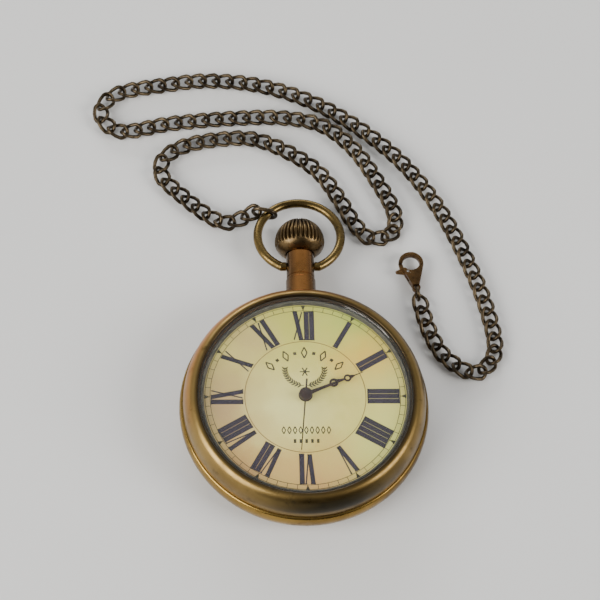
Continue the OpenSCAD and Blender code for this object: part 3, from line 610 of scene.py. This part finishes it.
for hour, letters in enumerate("I II III IIII V VI VII VIII IX X XI XII".split(), 1):
    numeral(letters, 30 * hour)
ink = coated("numeral_ink", srgb(30, 16, 42), srgb(20, 10, 28), 900, 0.5, 0.05)
printed("numerals", ink)

for minute in range(60):
    bar(0, TRACK_IN, 0, TRACK_OUT, 0.13, 6 * minute)
    if minute % 5 == 0:
        for k in range(4):
            bar(0, TRACK_OUT - 0.3 * k - 0.15, 0, TRACK_OUT - 0.3 * k + 0.17, 0.85 - 0.22 * k, 6 * minute)
for radius in (TRACK_IN, TRACK_OUT):
    marks.append(ink_ring(radius - 0.065, radius + 0.065))
track_ink = coated("track_ink", srgb(44, 40, 20), srgb(32, 30, 16), 900, 0.5, 0.05)
printed("minute_track", track_ink)

marks.append(ink_ring(13.11, 13.27))
fine_ink = coated("fine_ink", srgb(112, 84, 38), srgb(98, 74, 34), 900, 0.5, 0.05)
printed("centre_circle", fine_ink)

# Ornaments: lozenges and dots on an arc, a star between two sprays, and two small rows
SPRAY_STEP = 9
for k in range(-4, 5):
    turn = 11.5 * k
    if k % 2:
        bar(0, 10.15, 0, 10.85, 0.7, turn)
    else:
        for lean in (-0.62, 0.62):
            bar(lean, 10.5, 0, 11.8, 0.3, turn)
            bar(lean, 10.5, 0, 9.2, 0.3, turn)
for side in (-1, 1):
    bends = [radians(SPRAY_STEP * k) for k in range(12)]
    stalk = [(side * (0.25 + 4.1 * sin(bend)), 2.6 + 3.8 * (1 - cos(bend))) for bend in bends]
    for (x0, y0), (x1, y1) in zip(stalk, stalk[1:]):
        bar(x0, y0, x1, y1, 0.16)
    for k, (x, y) in enumerate(stalk[1:11]):
        run = radians(SPRAY_STEP * k + 12)
        for spread, length in ((0.75, 1.0), (-0.75, 0.95)):
            lean = run + spread
            tip = (x + side * length * cos(lean), y + length * sin(lean))
            middle = ((x + tip[0]) / 2, (y + tip[1]) / 2)
            bar(x, y, *tip, 0.13)
            bar(middle[0] - side * 0.28 * cos(lean), middle[1] - 0.28 * sin(lean),
                middle[0] + side * 0.28 * cos(lean), middle[1] + 0.28 * sin(lean), 0.3)
for k in range(6):
    bar(0, 5.9, 1.1 * sin(k * pi / 3 + pi / 6), 5.9 + 1.1 * cos(k * pi / 3 + pi / 6), 0.28)
for k in range(-4, 5):
    for lean in (-0.4, 0.4):
        bar(1.22 * k + lean, -8, 1.22 * k, -7.15, 0.22)
        bar(1.22 * k + lean, -8, 1.22 * k, -8.85, 0.22)
for k in range(-2, 3):
    bar(1.25 * k, -11.0, 1.25 * k, -10.1, 0.55, 0)
ornament_ink = coated("ornament_ink", srgb(56, 48, 32), srgb(42, 36, 26), 900, 0.5, 0.05)
printed("ornaments", ornament_ink)

# ---- hands ----
# Stamped steel hands in dark brown enamel: hour and minute hand with a round eye, and a thin
# seconds needle with a cap over the hub.

hand_enamel = coated("hand_enamel", srgb(44, 22, 20), srgb(30, 14, 14), 700, 0.34, 0.08, 0.2, 0.3)
for hand, name, round_over, body in (("hour_hand", "hour_eye_hand", 0.04, "hours"),
                                     ("minute_hand", "minute_eye_hand", 0.04, "minutes"),
                                     ("second_hand", "seconds_needle", 0.03, "seconds")):
    fit(finished_copy(hand, name, round_over, 2), hand_enamel, "hand_enamel", body, hand)

# ---- case middle and back cover ----
# Both are turned brass, antiqued like the bezel. The back snaps into the middle from below and
# carries the flat foot that the watch lies on.

case_brass = aged_metal("case_brass", srgb(158, 128, 68), srgb(120, 94, 48), srgb(60, 50, 30), 60, 0.5,
                        0.2, 0.34, 0.15)
fit(finished_copy("case_body", "case_middle", 0.05, 2), case_brass, "case_brass", "case", "case_body")

FOOT_R, BACK_H, BACK_T = 17, 3, 0.8
LIP = (NECK_R - 0.7, NECK_R - 1.8, BACK_H + 1.4)
outline = [(0, 0)] + arc((FOOT_R, BACK_H), SEAM_R - 0.1 - FOOT_R, BACK_H, -90, 0, 20)
outline += [(LIP[0], BACK_H), (LIP[0], LIP[2]), (LIP[1], LIP[2])]
outline += arc((FOOT_R, BACK_H), LIP[1] - FOOT_R, BACK_H - BACK_T, 0, -90, 12) + [(0, BACK_T)]
fit(turned("snap_back", outline), case_brass, "case_brass", "back", "back_cover")

# ---- pendant and its sleeve ----
# A brass tube screwed into the middle, with a slightly wider sleeve pushed over its foot. The
# tube carries the bow's two pivots and lets the stem through.

PENDANT_Z, PENDANT_R = 5.4, 3.15
PENDANT_END, PENDANT_BORE, STEM_HOLE = 38.6, 2.2, 0.62
pendant_brass = aged_metal("pendant_brass", srgb(194, 134, 76), srgb(150, 104, 58), srgb(54, 40, 28), 110,
                           0.5, 0.18, 0.32, 0.12)
# Painted shade: the flanks of the tube are darkened grey-brown, which leaves its top bright
tree, skin, shade, place = skin_of(pendant_brass)
across = value_of(tree, "ABSOLUTE", node(tree, "ShaderNodeSeparateXYZ", {0: place}).outputs["X"])
shade = mixed(tree, ranged(tree, across, 0.9 * MM, 2.7 * MM, 0, 0.9), shade, srgb(72, 62, 50))
tree.links.new(shade, skin.inputs["Base Color"])
shank = (0, 0, PENDANT_Z)
outline = [(STEM_HOLE, 24.95), (1.68, 24.95), (1.68, 27.0), (PENDANT_R, 27.0), (PENDANT_R, 31.7)]
outline += [(PENDANT_R - 0.14, 31.78), (PENDANT_R - 0.14, 31.95), (PENDANT_R, 32.03)]
outline += [(PENDANT_R, PENDANT_END - 0.15), (PENDANT_R - 0.15, PENDANT_END), (PENDANT_BORE, PENDANT_END)]
outline += [(PENDANT_BORE, 30), (STEM_HOLE, 30), (STEM_HOLE, 24.95)]
tube = turned("pendant_tube", outline, 96, shank, (1, 0, 0), (0, 1, 0))
collar_out = PENDANT_R + 0.2
outline = [(PENDANT_R + 0.02, 26.95), (collar_out, 26.95), (collar_out, 31.15), (collar_out - 0.12, 31.3),
           (PENDANT_R + 0.02, 31.3), (PENDANT_R + 0.02, 26.95)]
collar = turned("pendant_collar", outline, 96, shank, (1, 0, 0), (0, 1, 0))
fit(tube, pendant_brass, "pendant_brass", "case", "pendant")
fit(collar, pendant_brass, "pendant_brass", "case", "pendant_sleeve")

# ---- bow ----
# A round brass wire bent to a ring, sprung open and let into two holes in the pendant, in
# which it swings.

BOW_R, BOW_WIRE, PIVOT_Y, BOW_DROP = 9.475, 2.0, 34.9, radians(8.5)
bow_end_x = PENDANT_R + BOW_WIRE / 2 + 0.07
bow_reach = sqrt(BOW_R ** 2 - bow_end_x ** 2)
bpy.ops.object.select_all(action="DESELECT")
BOW_STEPS = 160
bpy.ops.mesh.primitive_torus_add(
    major_radius=BOW_R * MM, minor_radius=BOW_WIRE / 2 * MM, major_segments=BOW_STEPS, minor_segments=28,
    rotation=(0, 0, pi / BOW_STEPS))
bow = bpy.context.object
bow.name = "wire_bow"
bpy.ops.object.transform_apply(location=True, rotation=True, scale=True)
bpy.ops.object.mode_set(mode="EDIT")
end_angle = asin(bow_end_x / BOW_R)
pick(bow, lambda co: co.y < 0 and abs(atan2(co.x, -co.y)) < end_angle)
bpy.ops.mesh.delete(type="VERT")
bpy.ops.mesh.select_all(action="SELECT")
bpy.ops.mesh.region_to_loop()
bpy.ops.mesh.edge_face_add()
bpy.ops.object.mode_set(mode="OBJECT")
seat = Matrix.Translation(Vector((0, PIVOT_Y, PENDANT_Z)) * MM) @ Matrix.Rotation(-BOW_DROP, 4, "X")
bow.data.transform(seat @ Matrix.Translation((0, bow_reach * MM, 0)))
only(bow)
bpy.ops.object.shade_smooth_by_angle(angle=radians(40))
bow_brass = aged_metal("bow_brass", srgb(130, 108, 64), srgb(94, 78, 46), srgb(50, 42, 26), 120, 0.5,
                       0.18, 0.34, 0.15)
wire_r, pin_r, chamfer = BOW_WIRE / 2, 0.65, 0.08
cheek, pin_end = bow_end_x - PENDANT_R - 0.03, bow_end_x - PENDANT_BORE - 0.05
pin_outline = [(0, 0), (wire_r, 0), (wire_r, cheek - chamfer), (wire_r - chamfer, cheek), (pin_r, cheek),
               (pin_r, pin_end - chamfer), (pin_r - chamfer, pin_end), (0, pin_end)]
ends = []
for side in (-1, 1):
    bpy.ops.mesh.primitive_uv_sphere_add(segments=40, ring_count=20, radius=(wire_r + 0.02) * MM,
                                         location=(side * bow_end_x * MM, PIVOT_Y * MM, PENDANT_Z * MM))
    ends.append(bpy.context.object)
    bpy.ops.object.shade_smooth()
    pin_at = (side * bow_end_x, PIVOT_Y, PENDANT_Z)
    ends.append(turned(f"bow_pin_{side}", pin_outline, 28, pin_at, (0, 0, 1), (-side, 0, 0)))
only(bow, *ends)
bpy.ops.object.join()
bpy.ops.object.transform_apply(location=True, rotation=True, scale=True)
fit(bow, bow_brass, "bow_brass", "bow", "bow")

# ---- winding knob ----
# A fluted onion of dark bronze, screwed on the stem. The flutes run together at its top, and a
# smooth bevel leads down to the pendant.

KNOB_R, KNOB_Y, KNOB_WIDE_Y = 5.65, 37.8, 41.0
FLUTES, FLUTE_STEPS, FLUTE_IN = 34, 8, 1.3
lower = KNOB_WIDE_Y - KNOB_Y
skirt = lower / 0.8
recess = PENDANT_R + 0.15
outline = [(0, KNOB_Y + 1.5), (recess, KNOB_Y + 1.5), (recess, KNOB_Y + 0.05)]
outline += arc((0, KNOB_WIDE_Y), KNOB_R, skirt, -degrees(asin(lower / skirt)), 0, 14)
outline += arc((0, KNOB_WIDE_Y), KNOB_R, KNOB_R, 4, 90, 26)
around = FLUTES * FLUTE_STEPS
knob = turned("fluted_knob", outline, around, (0, 0, PENDANT_Z), (1, 0, 0), (0, 1, 0), 60)
bpy.ops.object.mode_set(mode="EDIT")
hub = Vector((0, KNOB_WIDE_Y, PENDANT_Z)) * MM
for depth, phases in ((0.87, (0,)), (0.9, (1, 7)), (0.96, (2, 6))):
    pick(knob, lambda co: (
        co.y > (KNOB_WIDE_Y - 1.1) * MM
        and (co.x ** 2 + (co.z - hub.z) ** 2) > (FLUTE_IN * MM) ** 2
        and round(atan2(co.z - hub.z, co.x) / (2 * pi) * around) % FLUTE_STEPS in phases))
    bpy.ops.transform.resize(value=(depth, depth, depth), center_override=hub)
bpy.ops.object.mode_set(mode="OBJECT")
crown_bronze = aged_metal("crown_bronze", srgb(112, 92, 62), srgb(76, 62, 42), srgb(30, 24, 18), 200, 0.55,
                          0.24, 0.4, 0.2)
fit(knob, crown_bronze, "crown_bronze", "crown", "crown")

# ---- movement and seals ----
# A quartz movement: gilt plate and bridge, hardened steel parts, a copper coil on a soft iron
# core, a lacquered board with a resonator can and a moulded chip, and a button cell.

gilt = aged_metal("gilt_brass", srgb(222, 196, 128), srgb(196, 168, 100), srgb(140, 112, 62), 300, 0.25,
                  0.24, 0.34)
gear_gilt = aged_metal("gear_brass", srgb(226, 190, 104), srgb(200, 162, 80), srgb(130, 100, 50), 600, 0.2,
                       0.2, 0.3)
copper = aged_metal("coil_copper", srgb(190, 104, 58), srgb(160, 80, 42), srgb(90, 40, 24), 1500, 0.3,
                    0.2, 0.34, 0.8)
cell = aged_metal("cell_steel", srgb(214, 216, 216), srgb(190, 192, 192), srgb(120, 120, 118), 260, 0.2,
                  0.16, 0.26)
magnet = coated("magnet_dark", srgb(74, 74, 80), srgb(58, 58, 62), 900, 0.4, 0.2, 0.6)
rubber = coated("seal_rubber", srgb(34, 34, 34), srgb(24, 24, 24), 900, 0.7, 0.3)
dark_seal = coated("glass_gasket", srgb(58, 52, 40), srgb(44, 40, 32), 700, 0.5, 0.1)
holder = coated("holder_plastic", srgb(216, 212, 200), srgb(206, 202, 190), 120, 0.5, 0.15)
acetal = coated("wheel_plastic", srgb(222, 214, 188), srgb(210, 200, 172), 600, 0.42, 0.1)
board = coated("board_green", srgb(34, 92, 60), srgb(26, 76, 50), 500, 0.3, 0.1, 0, 0.4)
chip = coated("chip_black", srgb(30, 30, 32), srgb(22, 22, 24), 900, 0.55, 0.2)
dress(gilt, "main_plate", "train_bridge")
dress(gear_gilt, "dial_washer", "second_wheel", "third_wheel", "centre_wheel", "minute_wheel",
      "hour_wheel")
dress(steel, "stem", "sliding_pinion", "setting_lever", "lever_spring", "bridge_screws", "coil_core",
      "stator", "quartz_resonator", "battery_clamp")
dress(copper, "coil")
dress(cell, "battery")
dress(magnet, "rotor")
dress(rubber, "back_gasket", "crown_gasket")
dress(dark_seal, "crystal_gasket")
dress(holder, "movement_holder")
dress(acetal, "intermediate_wheel")
dress(board, "circuit_board")
dress(chip, "control_chip")

# ---- floor and light ----
# A plain pale floor, a large soft box on the left, a weaker one on the right, a third behind,
# and a surround that is pale behind the watch and dark in front of it.

bpy.ops.mesh.primitive_plane_add(size=8, location=(0, 0, 0))
floor = bpy.context.object
floor.name = "floor"
floor.data.materials.append(coated("floor_paper", srgb(228, 228, 227), srgb(223, 223, 222), 6, 0.85, 0.02))


def soft_box(name, place, aim, width, height, power, colour):
    """A rectangular light at a place, turned to what it lights."""
    bpy.ops.object.light_add(type="AREA", location=place)
    lamp = bpy.context.object
    lamp.name = name
    lamp.data.shape = "RECTANGLE"
    lamp.data.size, lamp.data.size_y = width, height
    lamp.data.energy = power
    lamp.data.color = colour
    lamp.rotation_euler = (Vector(aim) - Vector(place)).to_track_quat("-Z", "Y").to_euler()


soft_box("left_box", (-0.85, -0.42, 0.6), (0, 0.02, 0), 0.9, 0.8, 17, (1, 0.98, 0.94))
soft_box("right_box", (0.9, -0.28, 0.62), (0, 0.02, 0), 0.55, 0.6, 9, (1, 0.97, 0.93))
soft_box("back_box", (-0.2, 1.3, 0.55), (0, 0.02, 0), 1.0, 0.4, 8, (0.98, 0.99, 1))

world = bpy.data.worlds.new("surround")
bpy.context.scene.world = world
world.use_nodes = True
sky = world.node_tree
facing = node(sky, "ShaderNodeVectorMath", {0: node(sky, "ShaderNodeTexCoord").outputs["Generated"],
                                            1: (-0.25, 0.8, 0.1)}, operation="DOT_PRODUCT").outputs["Value"]
tone = mixed(sky, ranged(sky, facing, -0.75, 0.5), (0.1, 0.095, 0.09, 1), (0.86, 0.88, 0.9, 1))
sky.links.new(tone, sky.nodes["Background"].inputs["Color"])
sky.nodes["Background"].inputs["Strength"].default_value = 0.56

bpy.context.view_layer.update()
